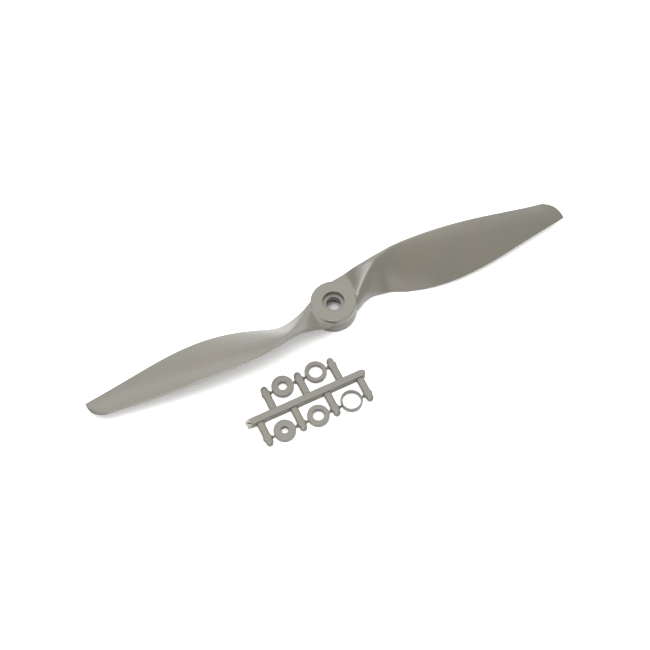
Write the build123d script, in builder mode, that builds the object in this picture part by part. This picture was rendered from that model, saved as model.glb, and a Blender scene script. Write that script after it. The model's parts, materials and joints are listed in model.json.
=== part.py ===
"""Two-blade model-aeroplane propeller with its tree of shaft adapter rings.

Millimetres, +Z up. The origin is on the shaft axis, in the plane of the hub's rear face,
on which the propeller lies. The blades run along X; the front of the propeller faces +Z.
"""
import os
from math import atan2, cos, pi, radians, sin

from build123d import *

# Propeller
DIAMETER = 228.6
PITCH = 160.0
HUB_DIAMETER = 20.5
HUB_THICKNESS = 9.5
HUB_DISC_DIAMETER = 20.1
HUB_STEP_HEIGHT = 4.4
HUB_STEP = 0.4
HUB_EDGE = 0.35
SHAFT_BORE = 6.35
RING_RECESS_DIAMETER = 9.62
FRONT_RECESS_DEPTH = 1.8
REAR_RECESS_DEPTH = 4.9

# Adapter rings: one outside diameter, one bore for each size of motor shaft.
# Bore, then place on the tree: half pitches along the runner, and side of the runner
RING_DIAMETER = 9.525
RING_THICKNESS = 2.4
RING_EDGE = 0.2
RINGS = {
    "ring_4_mm": (4.0, -1, 1),
    "ring_6_mm": (6.0, 1, 1),
    "ring_eighth_inch": (3.175, -2, -1),
    "ring_5_mm": (5.0, 0, -1),
    "ring_five_sixteenth_inch": (7.94, 2, -1),
}

# Ring tree: a runner with stubs on both sides, on a grid of half pitches
TREE_X = -26.7
TREE_Y = -34.0
TREE_ANGLE = radians(2)
HALF_PITCH = 7.8
RING_ROW = 9.4
UPPER_STUBS = (-2, 0, 2)
LOWER_STUBS = (-3, -1, 1, 3)
RUNNER_LEFT = -29.0
RUNNER_RIGHT = 26.8
RUNNER_HEIGHT = 2.8
RUNNER_WIDTH = 4.0
RUNNER_DRAFT = 9
# Notch of the torn end: along the runner from that end, and across it
FORK = ((0.0, -0.4), (2.4, -1.0), (0.0, 0.8))
STUB_WIDTH = 3.4
STUB_HEIGHT = 2.1
STUB_ROUNDING = 0.6
HEAD_START = 8.0
HEAD_WIDTH = 4.3
KNOB_ROW = 11.3
KNOB_RADIUS = 1.6
NECK_WIDTH = 3.2
FIN_REACH = 2.5
FIN_LENGTH = 2.6
GATE_WIDTH = 0.8
GATE_HEIGHT = 0.9
GATE_GAP = 0.05

# One blade, station by station: radius, mid-chord y and z, chord, thickness,
# heights of the leading and trailing edges, place of the crest as a fraction of the chord
BLADE_STATIONS = (
    (1.0, 1.1, 7.5, 16.2, 3.6, 3.2, 5.4, 0.30),
    (10.0, 2.85, 6.9, 15.6, 4.5, 1.3, 7.9, 0.36),
    (14.0, 3.95, 7.8, 14.8, 4.1, 1.3, 7.6, 0.50),
    (18.0, 4.6, 8.2, 15.1, 3.5, 1.2, 6.0, 0.66),
    (23.0, 4.8, 7.8, 17.5, 3.5, 1.1, 1.9, 0.70),
    (28.0, 4.8, 7.5, 19.0, 3.4, 1.0, 1.1, 0.64),
    (34.0, 4.2, 7.2, 21.6, 3.0, 0.9, 0.9, 0.60),
    (45.0, 3.1, 7.1, 23.9, 2.7, 0.8, 0.8, 0.62),
    (57.0, 2.5, 7.1, 24.1, 2.4, 0.7, 0.7, 0.62),
    (69.0, 2.5, 6.8, 22.4, 2.1, 0.7, 0.7, 0.62),
    (80.0, 2.8, 6.3, 19.5, 1.8, 0.6, 0.6, 0.62),
    (91.0, 3.2, 5.7, 15.9, 1.6, 0.6, 0.6, 0.62),
    (103.0, 3.6, 5.1, 12.1, 1.3, 0.5, 0.6, 0.62),
    (DIAMETER / 2, 4.1, 4.7, 9.2, 1.1, 0.5, 0.6, 0.62),
)
SECTION_COUNT = 28
UNTWISTED_RADIUS = 1.6
TWISTED_RADIUS = 27.0
# Share of the thickness above the chord, share of the rise reached halfway up to the crest,
# place of the curve's last point before the leading edge, roundness of that edge, and place
# of the deepest point of the underside ahead of mid-chord
UPPER_SHARE = 0.65
AFT_RISE = 0.75
NOSE = 0.91
NOSE_ROUNDNESS = 0.2
BELLY = 0.1
# Outline of the tip, from its corner at the trailing edge round to the leading edge
TIP_OUTLINE = (
    (DIAMETER / 2, -0.4),
    (113.5, 4.4),
    (111.4, 7.4),
    (108.2, 8.9),
    (103.5, 9.7),
)


def between_stations(radius):
    """Values of every column at a radius, on smooth cubics through the stations."""
    last = len(BLADE_STATIONS) - 1
    i = 0
    while i < last - 1 and radius > BLADE_STATIONS[i + 1][0]:
        i += 1

    def slope(k, column):
        low, high = BLADE_STATIONS[max(k - 1, 0)], BLADE_STATIONS[min(k + 1, last)]
        return (high[column] - low[column]) / (high[0] - low[0])

    start, end = BLADE_STATIONS[i], BLADE_STATIONS[i + 1]
    span = end[0] - start[0]
    t = (radius - start[0]) / span
    return [
        (1 + 2 * t) * (1 - t) ** 2 * start[column]
        + t * (1 - t) ** 2 * span * slope(i, column)
        + t**2 * (3 - 2 * t) * end[column]
        - t**2 * (1 - t) * span * slope(i + 1, column)
        for column in range(1, 8)
    ]


def blade_angle(radius):
    """Angle of the screw surface, washed out to nothing inside the hub."""
    t = max(0, min((radius - UNTWISTED_RADIUS) / (TWISTED_RADIUS - UNTWISTED_RADIUS), 1))
    return atan2(PITCH, 2 * pi * radius) * t**2 * (3 - 2 * t)


def blade_section(radius):
    """Cambered section of the blade between upright edges, the leading one towards +Y."""
    y, z, chord, thickness, leading, trailing, crest = between_stations(radius)
    angle = blade_angle(radius)
    half = chord / 2
    top = UPPER_SHARE * thickness
    trailing_top = Vector(sin(angle), cos(angle)) * trailing / 2
    leading_top = Vector(sin(angle), cos(angle)) * leading / 2
    crest_x = -half + chord * crest
    crest_run = crest_x + half - trailing_top.X
    nose_fall = (top - leading_top.Y) * ((NOSE - crest) / (1 - crest)) ** 2
    with BuildSketch(Plane((radius, y, z), (0, cos(angle), sin(angle)), (1, 0, 0))) as section:
        with BuildLine():
            Spline(
                Vector(-half, 0) + trailing_top,
                (crest_x - crest_run / 2, (1 - AFT_RISE) * trailing_top.Y + AFT_RISE * top),
                (crest_x, top),
                (-half + chord * NOSE, top - nose_fall),
                Vector(half, 0) + leading_top,
            )
            ThreePointArc(
                Vector(half, 0) + leading_top,
                (half + NOSE_ROUNDNESS * leading, 0),
                Vector(half, 0) - leading_top,
            )
            Spline(
                Vector(half, 0) - leading_top,
                (BELLY * chord, top - thickness),
                Vector(-half, 0) - trailing_top,
            )
            Line(Vector(-half, 0) - trailing_top, Vector(-half, 0) + trailing_top)
        make_face()
    return section.sketch


root_radius = BLADE_STATIONS[0][0]
section_step = (DIAMETER / 2 - root_radius) / SECTION_COUNT

with BuildPart() as blade:
    loft([blade_section(root_radius + i * section_step) for i in range(SECTION_COUNT + 1)])
    with BuildSketch():
        with BuildLine():
            Spline(*TIP_OUTLINE)
            Polyline(
                TIP_OUTLINE[-1],
                (TIP_OUTLINE[-1][0], HUB_DIAMETER),
                (DIAMETER, HUB_DIAMETER),
                (DIAMETER, TIP_OUTLINE[0][1]),
                TIP_OUTLINE[0],
            )
        make_face()
    extrude(amount=HUB_THICKNESS, mode=Mode.SUBTRACT)

with BuildPart() as propeller:
    with BuildSketch(Plane.XZ):
        with BuildLine():
            Polyline(
                (0, 0),
                (HUB_DIAMETER / 2, 0),
                (HUB_DIAMETER / 2, HUB_STEP_HEIGHT),
                (HUB_DISC_DIAMETER / 2, HUB_STEP_HEIGHT + HUB_STEP),
                (HUB_DISC_DIAMETER / 2, HUB_THICKNESS - HUB_EDGE),
                (HUB_DISC_DIAMETER / 2 - HUB_EDGE, HUB_THICKNESS),
                (0, HUB_THICKNESS),
                close=True,
            )
        make_face()
    revolve(axis=Axis.Z)
    with PolarLocations(0, 2):
        add(blade.part)
    # The hub's front face is spot-faced flat across the roots of the blades
    with BuildSketch(Plane.XY.offset(HUB_THICKNESS)):
        Circle(HUB_DISC_DIAMETER / 2)
    extrude(amount=HUB_THICKNESS, mode=Mode.SUBTRACT)
    with BuildSketch():
        Circle(SHAFT_BORE / 2)
    extrude(amount=HUB_THICKNESS, mode=Mode.SUBTRACT)
    # An adapter ring seats in either recess; the front one is shallow, the rear one deep
    with BuildSketch(Plane.XY.offset(HUB_THICKNESS)):
        Circle(RING_RECESS_DIAMETER / 2)
    extrude(amount=-FRONT_RECESS_DEPTH, mode=Mode.SUBTRACT)
    with BuildSketch():
        Circle(RING_RECESS_DIAMETER / 2)
    extrude(amount=REAR_RECESS_DEPTH, mode=Mode.SUBTRACT)
propeller.part.label = "propeller"

tree_plane = Plane((TREE_X, TREE_Y, 0), (cos(TREE_ANGLE), sin(TREE_ANGLE), 0), (0, 0, 1))

with BuildPart() as stub:
    with BuildSketch():
        with BuildLine():
            Polyline(
                (-STUB_WIDTH / 2, 0),
                (-STUB_WIDTH / 2, HEAD_START),
                (-HEAD_WIDTH / 2, RING_ROW),
                (-NECK_WIDTH / 2, KNOB_ROW),
                (NECK_WIDTH / 2, KNOB_ROW),
                (HEAD_WIDTH / 2, RING_ROW),
                (STUB_WIDTH / 2, HEAD_START),
                (STUB_WIDTH / 2, 0),
                close=True,
            )
        make_face()
        with Locations((0, KNOB_ROW)):
            Circle(KNOB_RADIUS)
    extrude(amount=STUB_HEIGHT)
    fillet(stub.faces().sort_by(Axis.Z)[-1].edges(), STUB_ROUNDING)

# A gate runs from the fin beside a stub's head to just short of the ring it holds
gate_reach = HALF_PITCH - RING_DIAMETER / 2 - GATE_GAP
with BuildSketch() as gate_outline:
    with BuildLine():
        Polyline(
            (0, -FIN_LENGTH / 2),
            (FIN_REACH, -GATE_WIDTH / 2),
            (gate_reach, -GATE_WIDTH / 2),
            (gate_reach, GATE_WIDTH / 2),
            (FIN_REACH, GATE_WIDTH / 2),
            (0, FIN_LENGTH / 2),
            close=True,
        )
    make_face()

with BuildPart() as ring_tree:
    with BuildSketch(tree_plane):
        with BuildLine():
            Polyline(
                (RUNNER_RIGHT - RUNNER_WIDTH / 2, RUNNER_WIDTH / 2),
                (RUNNER_LEFT, RUNNER_WIDTH / 2),
                (RUNNER_LEFT, -RUNNER_WIDTH / 2),
                (RUNNER_RIGHT - RUNNER_WIDTH / 2, -RUNNER_WIDTH / 2),
            )
            ThreePointArc(
                (RUNNER_RIGHT - RUNNER_WIDTH / 2, -RUNNER_WIDTH / 2),
                (RUNNER_RIGHT, 0),
                (RUNNER_RIGHT - RUNNER_WIDTH / 2, RUNNER_WIDTH / 2),
            )
        make_face()
    extrude(amount=RUNNER_HEIGHT, taper=RUNNER_DRAFT)
    # The other end was torn off the mould's feed and is left forked
    with BuildSketch(tree_plane):
        with BuildLine():
            Polyline(*((RUNNER_LEFT + along, across) for along, across in FORK), close=True)
        make_face()
    extrude(amount=RUNNER_HEIGHT, mode=Mode.SUBTRACT)
    for k in UPPER_STUBS:
        with Locations(tree_plane * Location((k * HALF_PITCH, 0, 0))):
            add(stub.part)
    for k in LOWER_STUBS:
        with Locations(tree_plane * Location((k * HALF_PITCH, 0, 0), (0, 0, 180))):
            add(stub.part)
    for _, k, side in RINGS.values():
        for way in (-1, 1):
            turn = 0 if way == 1 else 180
            with BuildSketch(tree_plane):
                with Locations(Location(((k - way) * HALF_PITCH, side * RING_ROW, 0), (0, 0, turn))):
                    add(gate_outline.sketch)
            extrude(amount=GATE_HEIGHT)
ring_tree.part.label = "ring_tree"

os.makedirs("parts", exist_ok=True)
export_step(propeller.part, "parts/propeller.step")
export_step(ring_tree.part, "parts/ring_tree.step")

for name, (bore, k, side) in RINGS.items():
    with BuildPart() as ring:
        with BuildSketch(tree_plane):
            with Locations((k * HALF_PITCH, side * RING_ROW)):
                Circle(RING_DIAMETER / 2)
                Circle(bore / 2, mode=Mode.SUBTRACT)
        extrude(amount=RING_THICKNESS)
        chamfer(ring.edges().filter_by(GeomType.CIRCLE), RING_EDGE)
    ring.part.label = name
    export_step(ring.part, f"parts/{name}.step")
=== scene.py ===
"""Looks of a model-aeroplane propeller and its tree of adapter rings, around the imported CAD."""

import json
from math import atan2, cos, pi, radians, sin, sqrt

import bmesh
import bpy
from mathutils import Matrix, Vector, noise


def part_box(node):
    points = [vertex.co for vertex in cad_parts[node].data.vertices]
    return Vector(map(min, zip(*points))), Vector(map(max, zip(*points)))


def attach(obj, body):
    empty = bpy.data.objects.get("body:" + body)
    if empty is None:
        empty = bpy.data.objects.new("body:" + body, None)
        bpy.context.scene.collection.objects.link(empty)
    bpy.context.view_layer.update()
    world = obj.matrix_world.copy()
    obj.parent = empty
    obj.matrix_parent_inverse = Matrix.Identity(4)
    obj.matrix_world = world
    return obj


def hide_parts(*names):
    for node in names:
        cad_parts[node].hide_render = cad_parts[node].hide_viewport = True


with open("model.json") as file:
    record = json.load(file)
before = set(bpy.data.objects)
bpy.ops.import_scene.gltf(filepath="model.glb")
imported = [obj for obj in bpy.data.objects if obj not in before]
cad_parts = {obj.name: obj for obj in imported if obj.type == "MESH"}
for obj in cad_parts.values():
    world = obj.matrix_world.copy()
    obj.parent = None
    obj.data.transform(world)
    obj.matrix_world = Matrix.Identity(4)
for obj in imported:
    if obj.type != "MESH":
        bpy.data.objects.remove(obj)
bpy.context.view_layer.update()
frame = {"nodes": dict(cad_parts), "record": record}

MM = 0.001

# ---------------------------------------------------------------- sizes taken from the frame

mounts = {mount["name"]: mount for mount in frame["record"]["mounts"]}


def mount_size(name, measure):
    return mounts[name]["dims"][measure] * MM


BORE_RADIUS = mount_size("shaft_bore", "r_mm")
RECESS_RADIUS = mount_size("front_ring_recess", "r_mm")
FRONT_RECESS_DEPTH = mount_size("front_ring_recess", "length_mm")
REAR_RECESS_DEPTH = mount_size("rear_ring_recess", "length_mm")
HUB_THICKNESS = mounts["hub_front_face"]["pos_m"][2]
RINGS = [name for name in frame["nodes"] if name.startswith("ring_") and name != "ring_tree"]

# ---------------------------------------------------------------- sizes of the hub

HUB_RADIUS = 10.2 * MM
DISC_RADIUS = 10.03 * MM
# The step in the hub's side, between the two radii
STEP_HEIGHT = 4.4 * MM
STEP = 0.4 * MM
# Roundings
HUB_EDGE = 0.4 * MM
STEP_EDGE = 0.1 * MM
BORE_EDGE = 0.12 * MM
RECESS_FLOOR_EDGE = 0.05 * MM
# The cutter that clears the blades off the disc and out of the bore. It takes them out up to
# CORE_RADIUS, which lies within the hub's wall, and flares outside the disc.
CORE_RADIUS = 6 * MM
SPOT_FLARE_WIDTH = 1.2 * MM
SPOT_FLARE_HEIGHT = 0.42 * MM
CUTTER_AXIS_GAP = 0.05 * MM
CUTTER_DROP = 1 * MM
HUB_TURN_STEPS = 192

# ---------------------------------------------------------------- sizes of the blades (in mm)

TIP_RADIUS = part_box("propeller")[1].x / MM
PITCH = 160.0
# Radius, mid-chord y and z, chord, thickness, heights of the leading and trailing edges,
# and the place of the crest as a fraction of the chord from the trailing edge
BLADE_STATIONS = (
    (1.0, 1.1, 7.5, 16.2, 3.6, 3.2, 5.4, 0.30),
    (10.0, 2.85, 6.9, 15.6, 4.5, 1.3, 7.9, 0.36),
    (14.0, 3.95, 7.8, 14.8, 4.1, 1.3, 7.6, 0.50),
    (18.0, 4.6, 8.2, 15.1, 3.5, 1.2, 6.0, 0.66),
    (23.0, 4.8, 7.8, 17.5, 3.5, 1.1, 1.9, 0.70),
    (28.0, 4.8, 7.5, 19.0, 3.4, 1.0, 1.1, 0.64),
    (34.0, 4.2, 7.2, 21.6, 3.0, 0.9, 0.9, 0.60),
    (45.0, 3.1, 7.1, 23.9, 2.7, 0.8, 0.8, 0.62),
    (57.0, 2.5, 7.1, 24.1, 2.4, 0.7, 0.7, 0.62),
    (69.0, 2.5, 6.8, 22.4, 2.1, 0.7, 0.7, 0.62),
    (80.0, 2.8, 6.3, 19.5, 1.8, 0.6, 0.6, 0.62),
    (91.0, 3.2, 5.7, 15.9, 1.6, 0.6, 0.6, 0.62),
    (103.0, 3.6, 5.1, 12.1, 1.3, 0.5, 0.6, 0.62),
    (TIP_RADIUS, 4.1, 4.7, 9.2, 1.1, 0.5, 0.6, 0.62),
)
# The blade turns from flat to its pitch between these radii
UNTWISTED_RADIUS = 1.6
TWISTED_RADIUS = 27.0
# The share of the thickness above the chord, and the place where the underside has the rest
UPPER_SHARE = 0.65
BELLY_PLACE = 0.6

# The round tip: where it starts, the y of its square trailing corner, the power that shapes
# its arc, and the shares of thickness and of nose height left at its very end
TIP_START = 103.5
TIP_CORNER_Y = -0.4
TIP_ARC_POWER = 0.37
TIP_THICKNESS_LEFT = 0.6
TIP_NOSE_LEFT = 0.7

# The ridge from the hub's disc up the root: its radii, its line, and its rounding. It stays
# RIDGE_NOSE_SHARE of the chord behind the nose, and fades into the blade.
RIDGE_STARTS = 10.5
RIDGE_FADES = 23.0
RIDGE_ENDS = 34.0
RIDGE_Y, RIDGE_Y_SLOPE = -1.2, 0.75
RIDGE_Z, RIDGE_Z_SLOPE = 9.5, 0.39
RIDGE_ROUNDING = 1.1
RIDGE_NOSE_SHARE = 0.1
RIDGE_NOSE_ROUNDING = 1.0

# Edges: roundings as shares of the edge's height, but never more than EDGE_SHARE of the chord
NOSE_ROUNDING = 0.9
WALL_ROUNDING = 0.32
EDGE_SHARE = 0.3
NOSE_BEVEL = 0.3
NOSE_BULGE = 0.2

# Sections along the blade: evenly spaced in the root, then in the middle, then round the tip
ROOT_START = 1.0
ROOT_SPACING = 0.25
ROOT_SECTIONS = 136
MIDDLE_SECTIONS = 60
TIP_SECTIONS = 26
LAST_SECTION_INSET = 0.004
# Points round a section
SURFACE_STEPS = 48
BEVEL_STEPS = 4
EDGE_STEPS = 8
WALL_STEPS = 6

# ---------------------------------------------------------------- sizes of the ring tree and rings

RUNNER_LEFT = -29.0 * MM
RUNNER_RIGHT = 26.8 * MM
RUNNER_HEIGHT = 2.78 * MM
RUNNER_HALF_WIDTH = 1.98 * MM
RUNNER_TOP_SHARE = 0.79
RUNNER_FOOT_EDGE = 0.05 * MM
RUNNER_TOP_EDGE = 0.35 * MM
# The torn end starts at TORN_WIDTH_SHARE of the width and is full a few stations later
TORN_STATIONS = 9
TORN_SPACING = 0.4 * MM
TORN_WIDTH_SHARE = 0.8
TORN_NARROW_STATIONS = 4
# The round end follows a quarter turn that stops just short of a point
ROUND_END_STATIONS = 12
ROUND_END_STEPS = 12.5

# Bars with a rounded top: width of the foot, and heights where the side starts and ends
BAR_FOOT_SHARE = 0.97
BAR_SIDE_LOW = 0.3
BAR_SIDE_HIGH = 0.35
STUB_ROUNDNESS = 0.55
GATE_ROUNDNESS = 0.8
GATE_SECTION_STEPS = 8

STUB_HALF_WIDTH = 1.68 * MM
STUB_HEIGHT = 2.08 * MM
HEAD_START = 7.8 * MM
HEAD_HALF_WIDTH = 2.12 * MM
NECK_HALF_WIDTH = 1.62 * MM
KNOB_ROW = 11.3 * MM
KNOB_RADIUS = 1.58 * MM
# The knob's arc in degrees, which stops just short of a point, and its height there as a
# share of the stub's
KNOB_STATIONS = 10
KNOB_FIRST_ANGLE = -25
KNOB_ANGLE_STEP = 115 / 9.3
KNOB_RIM_HEIGHT = 0.45
# Places of the stubs along the runner, in half pitches from its middle
UPPER_STUBS = (-2, 0, 2)
LOWER_STUBS = (-3, -1, 1, 3)

FIN_REACH = 2.5 * MM
FIN_HALF_LENGTH = 1.3 * MM
GATE_HALF_WIDTH = 0.4 * MM
GATE_HEIGHT = 0.88 * MM
GATE_GAP = 0.06 * MM

# Notch of the torn end: its reach along the runner, its place and half-width across it
NOTCH_DEPTH = 2.3 * MM
NOTCH_OVERSHOOT = 0.5 * MM
NOTCH_START = 0.25 * MM
NOTCH_END = -0.95 * MM
NOTCH_HALF_WIDTH = 0.62 * MM
NOTCH_TIP_HALF_WIDTH = 0.06 * MM
# Raggedness of the upper side, the lower side's share of it, and the noise behind it
NOTCH_RAGGEDNESS = 0.16 * MM
NOTCH_LOWER_SHARE = 0.6
NOTCH_NOISE_REACH = 9
NOTCH_NOISE_PLACE = (3.1, 0.4)
NOTCH_STEPS = 9
# Heights through the notch, and how far it spreads from its inner end's line there
NOTCH_LEVELS = ((-0.2 * MM, 0.8), (0.5 * RUNNER_HEIGHT, 1), (1.2 * RUNNER_HEIGHT, 1.25))

# Rounding of the rings' edges, but never more than a share of the ring's wall
RING_EDGE = 0.3 * MM
RING_EDGE_SHARE = 1 / 3
RING_TURN_STEPS = 128

WELD_DISTANCE = 0.004 * MM
SHARP_ANGLE = radians(16)

# ---------------------------------------------------------------- looks

PLASTIC_GREY = (0.086, 0.080, 0.062)
PLASTIC_IOR = 1.58
# Roughness in the cool and in the warm clouds
ROUGHNESS = (0.25, 0.33)
PROPELLER_GRAIN = 1.4
TREE_GRAIN = 1.7
# Each noise: scale, detail, and the range of its values that takes effect
CLOUD_NOISE, CLOUD_RANGE = (45, 1), (0.15, 0.85)
FIBRE_NOISE, FIBRE_RANGE = (1100, 3), (0.62, 0.75)
SPECK_NOISE, SPECK_RANGE = (1500, 2), (0.56, 0.72)
FIBRE_STRETCH = (0.16, 1, 1)
WARM_TINT = (1.07, 1.03, 0.97)
COOL_TINT = (0.93, 0.96, 1.0)
GRAIN_CONTRAST = 0.2
FIBRE_SHARE = 0.55
SPECK_SHARE = 0.6
# Strength and depth of the bumps
FIBRE_BUMP = (0.45, 0.03 * MM)
SPECK_BUMP = (0.3, 0.015 * MM)
# The pale torn plastic: its colour and share, and the distances from the torn end between
# which it fades out
TORN_COLOUR = (0.26, 0.24, 0.20)
TORN_SHARE = 0.85
TORN_FADES = 0.72 * MM
TORN_REACH = 2.4 * MM

FLOOR_COLOURS = ((0.93, 0.93, 0.93, 1), (0.95, 0.95, 0.95, 1))
FLOOR_NOISE_SCALE = 6
FLOOR_ROUGHNESS = 0.9
FLOOR_SPECULAR = 0.1
FLOOR_HALF_WIDTH = 2
FLOOR_DROP = 0.02 * MM

# ---------------------------------------------------------------- camera and lights

CAMERA_TURN = radians(24)
CAMERA_ELEVATION = radians(62.5)
CAMERA_DISTANCE = 0.5658
CAMERA_LENS = 71.8
AIM_RIGHT = 3.65 * MM
AIM_UP = 8.12 * MM

# Name, place ahead of the hub and to the right of it as the camera sees it, height and
# width, all in metres, and power in watts
SOFTBOXES = (
    ("top_softbox", 0.5, -0.1, 0.85, 1.1, 8.4),
    ("small_softbox", -0.14, -0.1, 0.95, 0.38, 3.6),
    ("back_softbox", 1.2, -0.2, 0.35, 1.2, 3.9),
    ("front_softbox", -1.0, 0.1, 0.4, 0.7, 2.4),
)
WORLD_STRENGTH = 1.25


# ---------------------------------------------------------------- curves


def smooth_step(value, start, end):
    """0 up to start and 1 from end on, with a smooth rise between them."""
    t = max(0, min((value - start) / (end - start), 1))
    return t * t * (3 - 2 * t)


def soft_minimum(first, second, rounding):
    return (first + second - sqrt((first - second) ** 2 + rounding**2)) / 2


def curve(start, control, end, steps):
    """Points of a quadratic curve, without its start."""
    points = []
    for i in range(1, steps + 1):
        t = i / steps
        points.append((1 - t) ** 2 * start + 2 * t * (1 - t) * control + t * t * end)
    return points


def rounded(corners, steps=8):
    """A closed outline through (x, y, rounding) corners, each rounded by a curve."""
    outline = []
    for i, (x, y, size) in enumerate(corners):
        corner = Vector((x, y))
        before = Vector(corners[i - 1][:2])
        after = Vector(corners[(i + 1) % len(corners)][:2])
        start = corner + (before - corner).normalized() * size
        end = corner + (after - corner).normalized() * size
        outline += [start] + curve(start, corner, end, steps)
    return outline


# ---------------------------------------------------------------- meshes


def mesh_object(name, vertices, faces):
    mesh = bpy.data.meshes.new(name)
    mesh.from_pydata([tuple(v) for v in vertices], [], faces)
    mesh.validate()
    shape = bmesh.new()
    shape.from_mesh(mesh)
    bmesh.ops.recalc_face_normals(shape, faces=shape.faces)
    if shape.calc_volume(signed=True) < 0:
        bmesh.ops.reverse_faces(shape, faces=shape.faces)
    shape.to_mesh(mesh)
    shape.free()
    piece = bpy.data.objects.new(name, mesh)
    bpy.context.scene.collection.objects.link(piece)
    return piece


def skin(name, loops, closed=False):
    """A mesh over loops of points of equal length; its ends are capped unless the loops close."""
    count = len(loops[0])
    vertices = [point for loop in loops for point in loop]
    faces = []
    for i in range(len(loops) if closed else len(loops) - 1):
        this, after = i * count, (i + 1) % len(loops) * count
        for j in range(count):
            k = (j + 1) % count
            faces.append((this + j, this + k, after + k, after + j))
    if not closed:
        faces.append(tuple(reversed(range(count))))
        faces.append(tuple(range(len(vertices) - count, len(vertices))))
    return mesh_object(name, vertices, faces)


def lathe(name, profile, centre, steps):
    """A closed (radius, height) profile turned about the vertical through centre."""
    loops = []
    for i in range(steps):
        turn = 2 * pi * i / steps
        loops.append([centre + Vector((r * cos(turn), r * sin(turn), z)) for r, z in profile])
    return skin(name, loops, closed=True)


def combine(piece, others, operation):
    """Unites piece with other meshes or cuts them out of it, and leaves the others as they are."""
    for other in others:
        modifier = piece.modifiers.new("combine", "BOOLEAN")
        modifier.operation = operation
        modifier.solver = "EXACT"
        modifier.object = other
    graph = bpy.context.evaluated_depsgraph_get()
    mesh = bpy.data.meshes.new_from_object(piece.evaluated_get(graph))
    piece.modifiers.clear()
    piece.data = mesh


def discard(pieces):
    for piece in pieces:
        bpy.data.objects.remove(piece)


def weld(piece):
    """Removes the slivers that the booleans leave."""
    shape = bmesh.new()
    shape.from_mesh(piece.data)
    bmesh.ops.triangulate(shape, faces=[face for face in shape.faces if len(face.verts) > 4])
    bmesh.ops.remove_doubles(shape, verts=shape.verts, dist=WELD_DISTANCE)
    bmesh.ops.dissolve_degenerate(shape, dist=WELD_DISTANCE, edges=shape.edges)
    shape.to_mesh(piece.data)
    shape.free()


def smooth_surface(piece):
    """Shades a piece smoothly between its sharp edges."""
    piece.data.shade_smooth()
    piece.data.set_sharp_from_angle(angle=SHARP_ANGLE)
    weighted = piece.modifiers.new("weighted_normals", "WEIGHTED_NORMAL")
    weighted.keep_sharp = True


# ---------------------------------------------------------------- blades


def between_stations(radius):
    """Values of every column at a radius, on smooth cubics through the stations."""
    last = len(BLADE_STATIONS) - 1
    i = 0
    while i < last - 1 and radius > BLADE_STATIONS[i + 1][0]:
        i += 1

    def slope(k, column):
        low, high = BLADE_STATIONS[max(k - 1, 0)], BLADE_STATIONS[min(k + 1, last)]
        return (high[column] - low[column]) / (high[0] - low[0])

    start, end = BLADE_STATIONS[i], BLADE_STATIONS[i + 1]
    span = end[0] - start[0]
    t = (radius - start[0]) / span
    return [
        (1 + 2 * t) * (1 - t) ** 2 * start[column]
        + t * (1 - t) ** 2 * span * slope(i, column)
        + t**2 * (3 - 2 * t) * end[column]
        - t**2 * (1 - t) * span * slope(i + 1, column)
        for column in range(1, len(start))
    ]


def tip_share(radius, y, chord, angle):
    """The share of its chord that a section keeps, which is all of it inboard of the round tip."""
    if radius <= TIP_START:
        return 1
    along = (radius - TIP_START) / (TIP_RADIUS - TIP_START)
    start_y, _, start_chord = between_stations(TIP_START)[:3]
    full_width = (y + chord / 2 * cos(angle)) - TIP_CORNER_Y
    start_width = start_y + start_chord / 2 - TIP_CORNER_Y
    return min(1, start_width * (1 - along**2) ** TIP_ARC_POWER / full_width)


def ridge_place(radius):
    """Y and Z of the root's ridge, which starts at the rim of the hub's disc."""
    beyond = max(0, radius - RIDGE_STARTS)
    return RIDGE_Y + RIDGE_Y_SLOPE * beyond, RIDGE_Z + RIDGE_Z_SLOPE * beyond


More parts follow.
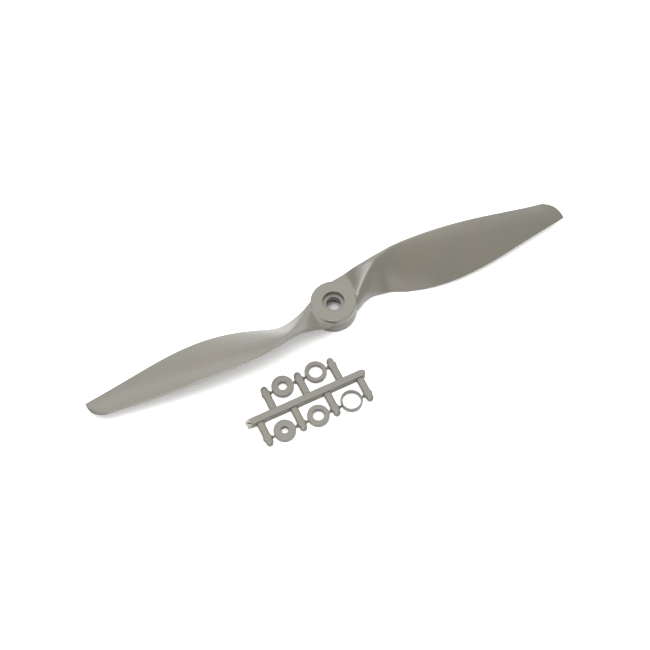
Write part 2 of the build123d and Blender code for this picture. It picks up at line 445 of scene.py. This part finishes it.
def blade_loop(radius):
    """One section of the blade as a closed loop of points, in metres.

    Its points are worked out in the section's own plane, x towards the nose along the chord
    and y away from it, and then turned by the blade's angle.
    """
    y, z, chord, thickness, leading, trailing, crest = between_stations(radius)
    twist = smooth_step(radius, UNTWISTED_RADIUS, TWISTED_RADIUS)
    angle = atan2(PITCH, 2 * pi * radius) * twist
    tail = -chord / 2
    kept = tip_share(radius, y, chord, angle)
    chord *= kept
    thickness *= TIP_THICKNESS_LEFT + (1 - TIP_THICKNESS_LEFT) * kept
    leading *= TIP_NOSE_LEFT + (1 - TIP_NOSE_LEFT) * kept

    # The corners of the section: the trailing wall and the nose both stand upright
    nose = tail + chord
    crest_x = tail + crest * chord
    top = UPPER_SHARE * thickness
    belly = top - thickness
    upright = Vector((sin(angle), cos(angle)))
    wall_top = Vector((tail, 0)) + upright * trailing / 2
    wall_bottom = Vector((tail, 0)) - upright * trailing / 2
    nose_top = Vector((nose, 0)) + upright * leading / 2
    nose_bottom = Vector((nose, 0)) - upright * leading / 2
    bulge = NOSE_BULGE * leading
    nose_tip = Vector((nose + bulge, 0))
    nose_round = min(NOSE_ROUNDING * leading, EDGE_SHARE * chord)
    wall_round = min(WALL_ROUNDING * trailing, EDGE_SHARE * chord)

    aside, up = ridge_place(radius)
    ridge_x = (aside - y) * cos(angle) + (up - z) * sin(angle)
    ridge_x = soft_minimum(ridge_x, nose_top.x - RIDGE_NOSE_SHARE * chord, RIDGE_NOSE_ROUNDING)
    ridge_y = (up - z) * cos(angle) - (aside - y) * sin(angle) + RIDGE_ROUNDING / 4
    ridge_share = 1 - smooth_step(radius, RIDGE_FADES, RIDGE_ENDS)

    def crown(x):
        if x < crest_x:
            return top + (wall_top.y - top) * ((crest_x - x) / (crest_x - wall_top.x)) ** 2
        return top + (nose_top.y - top) * ((x - crest_x) / (nose_top.x - crest_x)) ** 2

    def roof(x):
        aft = wall_top.y + (x - wall_top.x) * (ridge_y - wall_top.y) / (ridge_x - wall_top.x)
        fore = nose_top.y + (x - nose_top.x) * (ridge_y - nose_top.y) / (ridge_x - nose_top.x)
        return soft_minimum(aft, fore, RIDGE_ROUNDING)

    def upper(x):
        height = crown(x)
        if ridge_share > 0:
            height += ridge_share * (roof(x) - height)
        return height

    def lower(x):
        t = (x - wall_bottom.x) / (nose_bottom.x - wall_bottom.x)
        rise = nose_bottom.y - wall_bottom.y
        hollow = belly - (wall_bottom.y + rise * BELLY_PLACE)
        return wall_bottom.y + rise * t + hollow * t * (1 - t) / (BELLY_PLACE * (1 - BELLY_PLACE))

    def surface(height_at, start, end):
        xs = [start + (end - start) * i / SURFACE_STEPS for i in range(SURFACE_STEPS + 1)]
        return [Vector((x, height_at(x))) for x in xs]

    points = surface(upper, wall_top.x + wall_round, nose_top.x - nose_round)
    under = surface(lower, nose_bottom.x - nose_round, wall_bottom.x + wall_round)
    bevel_start = points[-1]
    bevel_end = nose_top - upright * NOSE_BEVEL * min(leading, 1)
    points += [bevel_start.lerp(bevel_end, i / BEVEL_STEPS) for i in range(1, BEVEL_STEPS + 1)]
    points += curve(bevel_end, bevel_end + Vector((bulge, 0)), nose_tip, EDGE_STEPS)
    points += curve(nose_tip, nose_bottom, under[0], EDGE_STEPS)
    points += under[1:]
    corner = (wall_top - wall_bottom).normalized() * wall_round
    points += curve(under[-1], wall_bottom, wall_bottom + corner, EDGE_STEPS)
    wall = wall_top - wall_bottom - 2 * corner
    points += [wall_bottom + corner + wall * i / WALL_STEPS for i in range(1, WALL_STEPS)]
    points.append(wall_top - corner)
    points += curve(wall_top - corner, wall_top, points[0], EDGE_STEPS)[:-1]
    return [
        Vector((
            radius,
            y + point.x * cos(angle) - point.y * sin(angle),
            z + point.x * sin(angle) + point.y * cos(angle),
        )) * MM
        for point in points
    ]


def blade_radii():
    """Section radii: close together where the root twists and round the tip."""
    middle_start = ROOT_START + ROOT_SPACING * ROOT_SECTIONS
    root = [ROOT_START + ROOT_SPACING * i for i in range(ROOT_SECTIONS)]
    middle = [
        middle_start + (TIP_START - middle_start) * i / MIDDLE_SECTIONS
        for i in range(MIDDLE_SECTIONS)
    ]
    tip = [
        TIP_START + (TIP_RADIUS - TIP_START) * sin(pi / 2 * i / TIP_SECTIONS)
        for i in range(TIP_SECTIONS)
    ]
    return root + middle + tip + [TIP_RADIUS - LAST_SECTION_INSET]


# ---------------------------------------------------------------- propeller


def make_propeller():
    """The hub and both blades, in one moulding."""
    front_floor = HUB_THICKNESS - FRONT_RECESS_DEPTH
    axis_foot = Vector((0, 0, 0))
    hub = lathe(
        "propeller_moulding",
        rounded([
            (RECESS_RADIUS, 0, BORE_EDGE),
            (HUB_RADIUS, 0, HUB_EDGE),
            (HUB_RADIUS, STEP_HEIGHT, STEP_EDGE),
            (DISC_RADIUS, STEP_HEIGHT + STEP, STEP_EDGE),
            (DISC_RADIUS, HUB_THICKNESS, HUB_EDGE),
            (RECESS_RADIUS, HUB_THICKNESS, BORE_EDGE),
            (RECESS_RADIUS, front_floor, RECESS_FLOOR_EDGE),
            (BORE_RADIUS, front_floor, BORE_EDGE),
            (BORE_RADIUS, REAR_RECESS_DEPTH, BORE_EDGE),
            (RECESS_RADIUS, REAR_RECESS_DEPTH, RECESS_FLOOR_EDGE),
        ]),
        axis_foot,
        HUB_TURN_STEPS,
    )
    flare = DISC_RADIUS + SPOT_FLARE_WIDTH
    cutter = lathe(
        "spot_face",
        [
            (CUTTER_AXIS_GAP, -CUTTER_DROP),
            (CORE_RADIUS, -CUTTER_DROP),
            (CORE_RADIUS, HUB_THICKNESS),
            (DISC_RADIUS, HUB_THICKNESS),
            (flare, HUB_THICKNESS + SPOT_FLARE_HEIGHT),
            (flare, 2 * HUB_THICKNESS),
            (CUTTER_AXIS_GAP, 2 * HUB_THICKNESS),
        ],
        axis_foot,
        HUB_TURN_STEPS,
    )
    loops = [blade_loop(radius) for radius in blade_radii()]
    blades = []
    for turn in (0, pi):
        blade = skin("blade", loops)
        blade.data.transform(Matrix.Rotation(turn, 4, "Z"))
        combine(blade, [cutter], "DIFFERENCE")
        blades.append(blade)
    combine(hub, blades, "UNION")
    discard([cutter, *blades])
    weld(hub)
    smooth_surface(hub)
    return hub


# ---------------------------------------------------------------- rings and tree


def centre_of(node):
    low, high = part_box(node)
    return (low + high) / 2


def outer_radius(ring):
    low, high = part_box(ring)
    return (high.x - low.x) / 2


def make_ring(ring):
    low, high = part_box(ring)
    outer = outer_radius(ring)
    inner = mount_size(ring + "_bore", "r_mm")
    edge = min(RING_EDGE, RING_EDGE_SHARE * (outer - inner))
    height = high.z - low.z
    centre = centre_of(ring)
    piece = lathe(
        ring + "_moulding",
        rounded([
            (inner, 0, edge), (outer, 0, edge), (outer, height, edge), (inner, height, edge),
        ]),
        Vector((centre.x, centre.y, low.z)),
        RING_TURN_STEPS,
    )
    smooth_surface(piece)
    return piece


# The tree's own axes: x along the runner, y across it, from its middle on the floor
left, right, below = (centre_of("ring_" + size).xy for size in ("4_mm", "6_mm", "5_mm"))
above = (left + right) / 2
TREE_ANGLE = atan2(right.y - left.y, right.x - left.x)
TREE_CENTRE = (above + below) / 2
HALF_PITCH = (right - left).length / 2
RING_ROW = (above - below).length / 2
tree_matrix = Matrix.Translation(TREE_CENTRE.to_3d()) @ Matrix.Rotation(TREE_ANGLE, 4, "Z")


def bar_section(half_width, height, roundness, steps=10):
    """Points (across, up) round a bar with a flat base and a rounded top."""
    foot = BAR_FOOT_SHARE * half_width
    section = [(foot, 0)]
    for i in range(steps + 1):
        turn = pi * i / steps
        across = half_width * abs(cos(turn)) ** roundness * (1 if cos(turn) > 0 else -1)
        up = height * BAR_SIDE_LOW
        if 0 < i < steps:
            up = height * (BAR_SIDE_HIGH + (1 - BAR_SIDE_HIGH) * sin(turn) ** roundness)
        section.append((across, up))
    return section + [(-foot, 0)]


def stub_rows():
    """Distances from the runner's middle, with the stub's half-width at each of them."""
    rows = [
        (0.3 * MM, STUB_HALF_WIDTH),
        (0.6 * HEAD_START, STUB_HALF_WIDTH),
        (HEAD_START, STUB_HALF_WIDTH),
        (HEAD_START + 0.5 * MM, 1.06 * STUB_HALF_WIDTH),
        (RING_ROW - 0.35 * MM, 0.97 * HEAD_HALF_WIDTH),
        (RING_ROW, HEAD_HALF_WIDTH),
        (RING_ROW + 0.35 * MM, 0.95 * HEAD_HALF_WIDTH),
        (KNOB_ROW - 0.9 * MM, 1.03 * NECK_HALF_WIDTH),
    ]
    for i in range(KNOB_STATIONS):
        turn = radians(KNOB_FIRST_ANGLE + KNOB_ANGLE_STEP * i)
        rows.append((KNOB_ROW + KNOB_RADIUS * sin(turn), KNOB_RADIUS * cos(turn)))
    return rows


def make_stub(index, side):
    """One stub of the tree, from inside the runner out to its knob."""
    loops = []
    for row, half_width in stub_rows():
        height = STUB_HEIGHT
        if row > KNOB_ROW:
            fullness = sqrt(min(1, half_width / KNOB_RADIUS))
            height *= KNOB_RIM_HEIGHT + (1 - KNOB_RIM_HEIGHT) * fullness
        section = bar_section(half_width, height, STUB_ROUNDNESS)
        loops.append([Vector((across, row, up)) for across, up in reversed(section)])
    stub = skin("stub", loops)
    place = Matrix.Translation((index * HALF_PITCH, 0, 0))
    if side < 0:
        place = place @ Matrix.Rotation(pi, 4, "Z")
    stub.data.transform(tree_matrix @ place)
    return stub


def make_gate(start, end, row):
    """A low fin beside a stub's head, thinning to the gate that held a ring."""
    way = 1 if end > start else -1
    # Distance along the gate, half-width and height
    stations = (
        (0, FIN_HALF_LENGTH, 1.5 * GATE_HEIGHT),
        (0.5 * FIN_REACH, 0.8 * FIN_HALF_LENGTH, 1.3 * GATE_HEIGHT),
        (FIN_REACH, 1.4 * GATE_HALF_WIDTH, GATE_HEIGHT),
        (1.08 * FIN_REACH, GATE_HALF_WIDTH, GATE_HEIGHT),
        (abs(end - start), 0.8 * GATE_HALF_WIDTH, 0.9 * GATE_HEIGHT),
    )
    loops = []
    for along, half_width, height in stations:
        section = bar_section(half_width, height, GATE_ROUNDNESS, GATE_SECTION_STEPS)
        loops.append([Vector((start + way * along, row + across, up)) for across, up in section])
    if way < 0:
        loops = [list(reversed(loop)) for loop in loops]
    gate = skin("gate", loops)
    gate.data.transform(tree_matrix)
    return gate


def make_notch():
    """The ragged notch that forks the torn end of the runner."""
    upper, lower = [], []
    for i in range(NOTCH_STEPS + 1):
        t = i / NOTCH_STEPS
        x = RUNNER_LEFT - NOTCH_OVERSHOOT + (NOTCH_DEPTH + NOTCH_OVERSHOOT) * t
        middle = NOTCH_START + (NOTCH_END - NOTCH_START) * t
        half = NOTCH_HALF_WIDTH * (1 - t) + NOTCH_TIP_HALF_WIDTH
        noise_place = Vector((NOTCH_NOISE_REACH * t, *NOTCH_NOISE_PLACE))
        ragged = NOTCH_RAGGEDNESS * noise.noise(noise_place)
        upper.append((x, middle + half + ragged))
        lower.append((x, middle - half + NOTCH_LOWER_SHARE * ragged))
    outline = lower + upper[::-1]
    loops = []
    for height, spread in NOTCH_LEVELS:
        loops.append([
            Vector((x, NOTCH_END + (y - NOTCH_END) * spread, height)) for x, y in outline
        ])
    return skin("notch", loops)


def make_runner():
    """The tree's runner: a tapered bar, round at one end and torn off at the other."""
    top = RUNNER_TOP_SHARE * RUNNER_HALF_WIDTH
    section = rounded([
        (-RUNNER_HALF_WIDTH, 0, RUNNER_FOOT_EDGE),
        (RUNNER_HALF_WIDTH, 0, RUNNER_FOOT_EDGE),
        (top, RUNNER_HEIGHT, RUNNER_TOP_EDGE),
        (-top, RUNNER_HEIGHT, RUNNER_TOP_EDGE),
    ])
    round_start = RUNNER_RIGHT - RUNNER_HALF_WIDTH
    stations = []
    for i in range(TORN_STATIONS):
        widening = (1 - TORN_WIDTH_SHARE) * min(1, i / TORN_NARROW_STATIONS)
        stations.append((RUNNER_LEFT + TORN_SPACING * i, TORN_WIDTH_SHARE + widening))
    stations.append((round_start, 1))
    for i in range(1, ROUND_END_STATIONS + 1):
        turn = pi / 2 * i / ROUND_END_STEPS
        stations.append((round_start + RUNNER_HALF_WIDTH * sin(turn), cos(turn)))
    loops = []
    for x, share in stations:
        loops.append([Vector((x, point.x * share, point.y)) for point in reversed(section)])
    runner = skin("ring_tree_moulding", loops)
    notch = make_notch()
    combine(runner, [notch], "DIFFERENCE")
    discard([notch])
    runner.data.transform(tree_matrix)
    return runner


def make_tree():
    """The runner with its stubs, and a gate on either side of each ring."""
    tree = make_runner()
    parts = [make_stub(index, 1) for index in UPPER_STUBS]
    parts += [make_stub(index, -1) for index in LOWER_STUBS]
    for ring in RINGS:
        place = tree_matrix.inverted() @ centre_of(ring)
        reach = outer_radius(ring) + GATE_GAP
        for way in (-1, 1):
            parts.append(make_gate(place.x - way * HALF_PITCH, place.x - way * reach, place.y))
    combine(tree, parts, "UNION")
    discard(parts)
    weld(tree)
    smooth_surface(tree)
    return tree


# ---------------------------------------------------------------- materials


def node_material(name):
    """A new material, with its nodes, its links and its shader."""
    material = bpy.data.materials.new(name)
    material.use_nodes = True
    tree = material.node_tree
    return material, tree.nodes, tree.links, tree.nodes["Principled BSDF"]


def tinted(colour, tint):
    return tuple(channel * factor for channel, factor in zip(colour, tint))


def plastic(name, colour, grain, torn=None):
    """Moulded grey plastic filled with short fibres: mottled, finely grained, satin.

    torn gives a direction in the floor's plane and the distances along it between which
    the pale of a torn end turns into the grey.
    """
    material, nodes, links, shader = node_material(name)
    place = nodes.new("ShaderNodeTexCoord").outputs["Object"]

    def noise_node(scale, detail, stretch=(1, 1, 1)):
        mapping = nodes.new("ShaderNodeMapping")
        mapping.inputs["Scale"].default_value = stretch
        texture = nodes.new("ShaderNodeTexNoise")
        texture.inputs["Scale"].default_value = scale
        texture.inputs["Detail"].default_value = detail
        links.new(place, mapping.inputs["Vector"])
        links.new(mapping.outputs["Vector"], texture.inputs["Vector"])
        return texture.outputs["Fac"]

    def ramp(source, span, start, end):
        node = nodes.new("ShaderNodeMapRange")
        node.inputs["From Min"].default_value = span[0]
        node.inputs["From Max"].default_value = span[1]
        node.inputs["To Min"].default_value = start
        node.inputs["To Max"].default_value = end
        links.new(source, node.inputs["Value"])
        return node.outputs["Result"]

    def blend(factor, first, second):
        node = nodes.new("ShaderNodeMix")
        node.data_type = "RGBA"
        links.new(factor, node.inputs["Factor"])
        for socket, value in ((node.inputs["A"], first), (node.inputs["B"], second)):
            if isinstance(value, tuple):
                socket.default_value = (*value, 1)
            else:
                links.new(value, socket)
        return node.outputs["Result"]

    def bump(height, strength, depth):
        node = nodes.new("ShaderNodeBump")
        node.inputs["Strength"].default_value = strength * grain
        node.inputs["Distance"].default_value = depth
        links.new(height, node.inputs["Height"])
        return node

    clouds = noise_node(*CLOUD_NOISE)
    fibres = noise_node(*FIBRE_NOISE, stretch=FIBRE_STRETCH)
    specks = noise_node(*SPECK_NOISE)
    contrast = GRAIN_CONTRAST * grain
    light = tuple(channel * (1 + contrast) for channel in colour)
    dark = tuple(channel * (1 - contrast) for channel in colour)
    cool, warm = tinted(colour, COOL_TINT), tinted(colour, WARM_TINT)
    base = blend(ramp(clouds, CLOUD_RANGE, 0, 1), cool, warm)
    base = blend(ramp(fibres, FIBRE_RANGE, 0, FIBRE_SHARE), base, light)
    base = blend(ramp(specks, SPECK_RANGE, 0, SPECK_SHARE), base, dark)
    if torn:
        direction, *span = torn
        along = nodes.new("ShaderNodeVectorMath")
        along.operation = "DOT_PRODUCT"
        along.inputs[1].default_value = (*direction, 0)
        links.new(place, along.inputs[0])
        base = blend(ramp(along.outputs["Value"], span, TORN_SHARE, 0), base, TORN_COLOUR)
    links.new(base, shader.inputs["Base Color"])
    links.new(ramp(clouds, CLOUD_RANGE, *ROUGHNESS), shader.inputs["Roughness"])
    shader.inputs["IOR"].default_value = PLASTIC_IOR
    coarse = bump(fibres, *FIBRE_BUMP)
    fine = bump(specks, *SPECK_BUMP)
    links.new(coarse.outputs["Normal"], fine.inputs["Normal"])
    links.new(fine.outputs["Normal"], shader.inputs["Normal"])
    return material


def floor_material():
    material, nodes, links, shader = node_material("studio_floor")
    shader.inputs["Roughness"].default_value = FLOOR_ROUGHNESS
    shader.inputs["Specular IOR Level"].default_value = FLOOR_SPECULAR
    texture = nodes.new("ShaderNodeTexNoise")
    texture.inputs["Scale"].default_value = FLOOR_NOISE_SCALE
    mix = nodes.new("ShaderNodeMix")
    mix.data_type = "RGBA"
    mix.inputs["A"].default_value, mix.inputs["B"].default_value = FLOOR_COLOURS
    links.new(texture.outputs["Fac"], mix.inputs["Factor"])
    links.new(mix.outputs["Result"], shader.inputs["Base Color"])
    return material


# ---------------------------------------------------------------- the object


def dress(piece, node, material):
    """Gives a piece its material and puts it in its CAD node's place."""
    piece.data.materials.clear()
    piece.data.materials.append(material)
    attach(piece, node)
    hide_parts(node)


tree_direction = Vector((cos(TREE_ANGLE), sin(TREE_ANGLE)))
torn_end = TREE_CENTRE.dot(tree_direction) + RUNNER_LEFT
propeller_plastic = plastic("propeller_plastic", PLASTIC_GREY, PROPELLER_GRAIN)
tree_plastic = plastic(
    "ring_tree_plastic", PLASTIC_GREY, TREE_GRAIN,
    torn=(tree_direction, torn_end + TORN_FADES, torn_end + TORN_REACH),
)
dress(make_propeller(), "propeller", propeller_plastic)
dress(make_tree(), "ring_tree", tree_plastic)
for ring_name in RINGS:
    dress(make_ring(ring_name), ring_name, tree_plastic)


# ---------------------------------------------------------------- studio

floor_corners = [
    (x * FLOOR_HALF_WIDTH, y * FLOOR_HALF_WIDTH, 0) for x, y in ((-1, -1), (1, -1), (1, 1), (-1, 1))
]
floor = mesh_object("studio_floor", floor_corners, [(0, 1, 2, 3)])
floor.location.z = -FLOOR_DROP
floor.data.materials.append(floor_material())

# The camera's own directions
right_way = Vector((cos(CAMERA_TURN), -sin(CAMERA_TURN), 0))
level_way = Vector((sin(CAMERA_TURN), cos(CAMERA_TURN), 0))
forward = Vector((
    cos(CAMERA_ELEVATION) * sin(CAMERA_TURN),
    cos(CAMERA_ELEVATION) * cos(CAMERA_TURN),
    -sin(CAMERA_ELEVATION),
))
up_way = right_way.cross(forward)
hub_middle = Vector((0, 0, HUB_THICKNESS / 2))

camera_data = bpy.data.cameras.new("camera")
camera_data.lens = CAMERA_LENS
camera = bpy.data.objects.new("camera", camera_data)
camera.matrix_world = Matrix((
    (*right_way, 0), (*up_way, 0), (*-forward, 0), (0, 0, 0, 1),
)).transposed()
camera.location = hub_middle - right_way * AIM_RIGHT - up_way * AIM_UP - forward * CAMERA_DISTANCE
bpy.context.scene.collection.objects.link(camera)
bpy.context.scene.camera = camera


def softbox(name, ahead, aside, height, size, power):
    """A square area light, placed along and across the camera's view and aimed at the hub."""
    data = bpy.data.lights.new(name, "AREA")
    data.size = size
    data.energy = power
    lamp = bpy.data.objects.new(name, data)
    lamp.location = level_way * ahead + right_way * aside + Vector((0, 0, height))
    lamp.rotation_euler = (hub_middle - lamp.location).to_track_quat("-Z", "Y").to_euler()
    bpy.context.scene.collection.objects.link(lamp)


for light_values in SOFTBOXES:
    softbox(*light_values)

world = bpy.data.worlds.new("studio")
world.use_nodes = True
background = world.node_tree.nodes["Background"]
background.inputs["Color"].default_value = (1, 1, 1, 1)
background.inputs["Strength"].default_value = WORLD_STRENGTH
bpy.context.scene.world = world
bpy.context.scene.view_settings.view_transform = "Standard"
